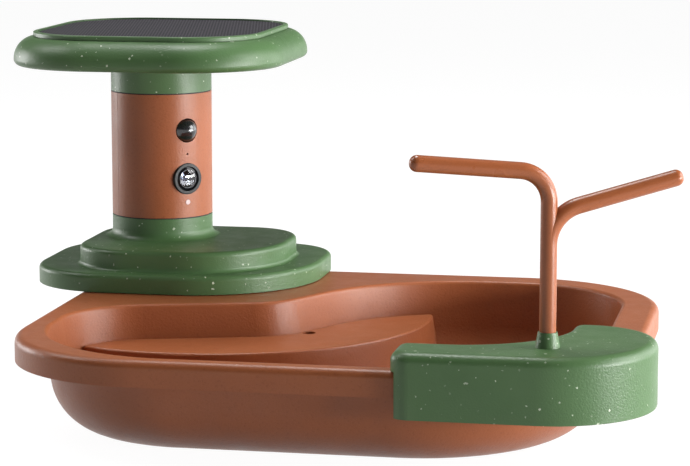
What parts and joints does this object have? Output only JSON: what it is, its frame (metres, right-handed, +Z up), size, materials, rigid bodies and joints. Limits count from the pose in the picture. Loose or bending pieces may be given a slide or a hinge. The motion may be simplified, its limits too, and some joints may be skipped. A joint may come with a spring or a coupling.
{
  "type": "smart bird bath",
  "caption": "Shallow garden bird bath with a solar-roofed camera tower on a corner of the rim, a drop-in shallow ledge and a clip-on forked perch.",
  "frame": {"origin": "on the ground under the middle of the basin", "axes": "+X along the basin's long side towards the perch, -Y its front, +Z up"},
  "size_m": [0.4706, 0.416, 0.2343],
  "materials": {
    "terracotta": "matte with a fine grain",
    "green": "matte with sparse pale flecks",
    "black_rubber": "matte",
    "dark_plastic": "matte",
    "steel": "satin",
    "cell_wrap": "gloss wrap",
    "board": "satin lacquer",
    "gloss_black": "gloss",
    "clear_glass": "clear",
    "pale_light": "translucent",
    "copper_foil": "satin",
    "solar_cells": "satin with a fine mesh"
  },
  "bodies": {
    "basin": {"basin_shell": "terracotta"},
    "ledge": {"shallow_ledge": "terracotta"},
    "tower": {"sleeve_front": "terracotta", "sleeve_back": "terracotta", "tower_foot": "green", "roof_base": "green", "roof_lid": "green", "foot_pads": "black_rubber", "lower_seam_ring": "black_rubber", "upper_seam_ring": "black_rubber", "roof_gasket": "black_rubber", "mic_boot": "black_rubber", "foot_plate": "dark_plastic", "battery_tray": "dark_plastic", "chassis": "dark_plastic", "camera_barrel": "dark_plastic", "button_switch": "dark_plastic", "microphone": "steel", "charge_socket": "steel", "pir_sensor": "steel", "cover_pin": "steel", "foot_screws": "steel", "column_screws": "steel", "neck_screws": "steel", "board_screws": "steel", "roof_screws": "steel", "battery_cells": "cell_wrap", "charge_board": "board", "button_board": "board", "front_board": "board", "main_board": "board", "image_sensor": "gloss_black", "lens_bezel": "gloss_black", "pir_dome": "gloss_black", "camera_element": "clear_glass", "lens_window": "clear_glass", "status_led": "pale_light", "light_pipe": "pale_light", "antenna": "copper_foil", "solar_panel": "solar_cells"},
    "holder": {"perch_holder": "green", "holder_liner": "black_rubber"},
    "perch": {"perch": "terracotta"},
    "button": {"power_button": "green"},
    "cover": {"socket_cover": "dark_plastic"}
  },
  "joints": [
    {"name": "ledge_lift", "type": "slide", "parent": "basin", "child": "ledge", "axis": [0, 0, 1], "range_m": [0, 0.06]},
    {"name": "tower_lift", "type": "slide", "parent": "basin", "child": "tower", "axis": [0, 0, 1], "range_m": [0, 0.06]},
    {"name": "holder_lift", "type": "slide", "parent": "basin", "child": "holder", "axis": [0, 0, 1], "range_m": [0, 0.04]},
    {"name": "perch_turn", "type": "hinge", "parent": "holder", "child": "perch", "pos_m": [0.145, -0.139, 0.083], "axis": [0, 0, 1], "continuous": true},
    {"name": "power_press", "type": "slide", "parent": "tower", "child": "button", "axis": [0, -1, 0], "range_m": [0, 0.0008], "stiffness_N_per_m": 800},
    {"name": "cover_open", "type": "hinge", "parent": "tower", "child": "cover", "pos_m": [-0.107, 0.2068, 0.073], "axis": [1, 0, 0], "range_deg": [0, 100]}
  ]
}
